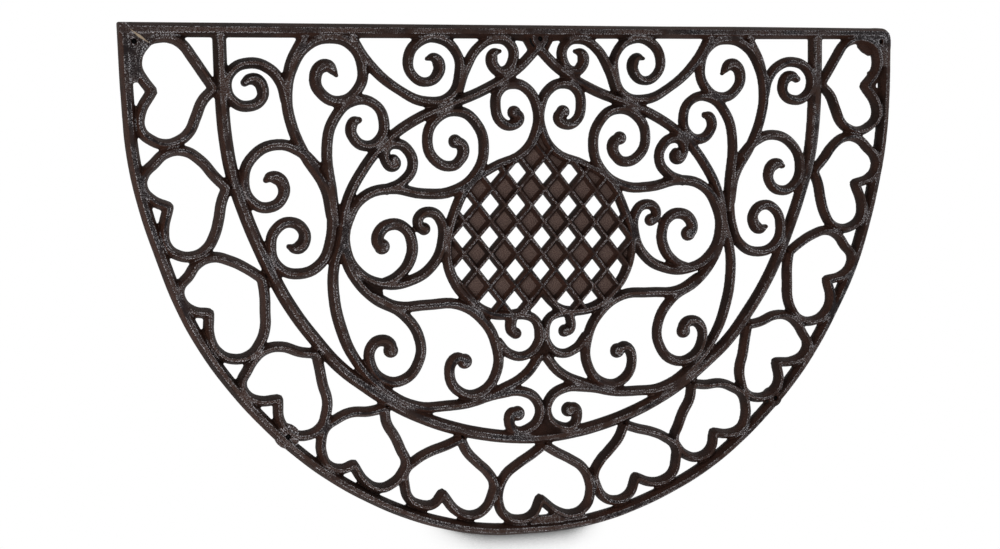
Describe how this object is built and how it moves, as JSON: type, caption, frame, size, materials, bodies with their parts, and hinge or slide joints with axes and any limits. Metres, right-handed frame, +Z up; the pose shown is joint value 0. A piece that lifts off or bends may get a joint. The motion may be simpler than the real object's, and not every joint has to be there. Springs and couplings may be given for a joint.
{
  "type": "door mat",
  "caption": "Half-round openwork door mat: one flat iron casting of hearts, scrolls and a diamond lattice on rubber feet.",
  "frame": {"origin": "on the ground, under the middle of the mat's width and depth", "axes": "+X along the straight edge, +Y from the curved edge towards the straight edge, +Z up"},
  "size_m": [0.75, 0.473, 0.0153],
  "materials": {
    "cast_iron": "sand-cast, dark brown and grey, semi-matt",
    "rubber": "matt moulded"
  },
  "bodies": {
    "root": {"casting": "cast_iron", "foot_middle": "rubber", "foot_corner_left": "rubber", "foot_curve_left": "rubber", "foot_corner_right": "rubber", "foot_curve_right": "rubber"}
  },
  "joints": []
}
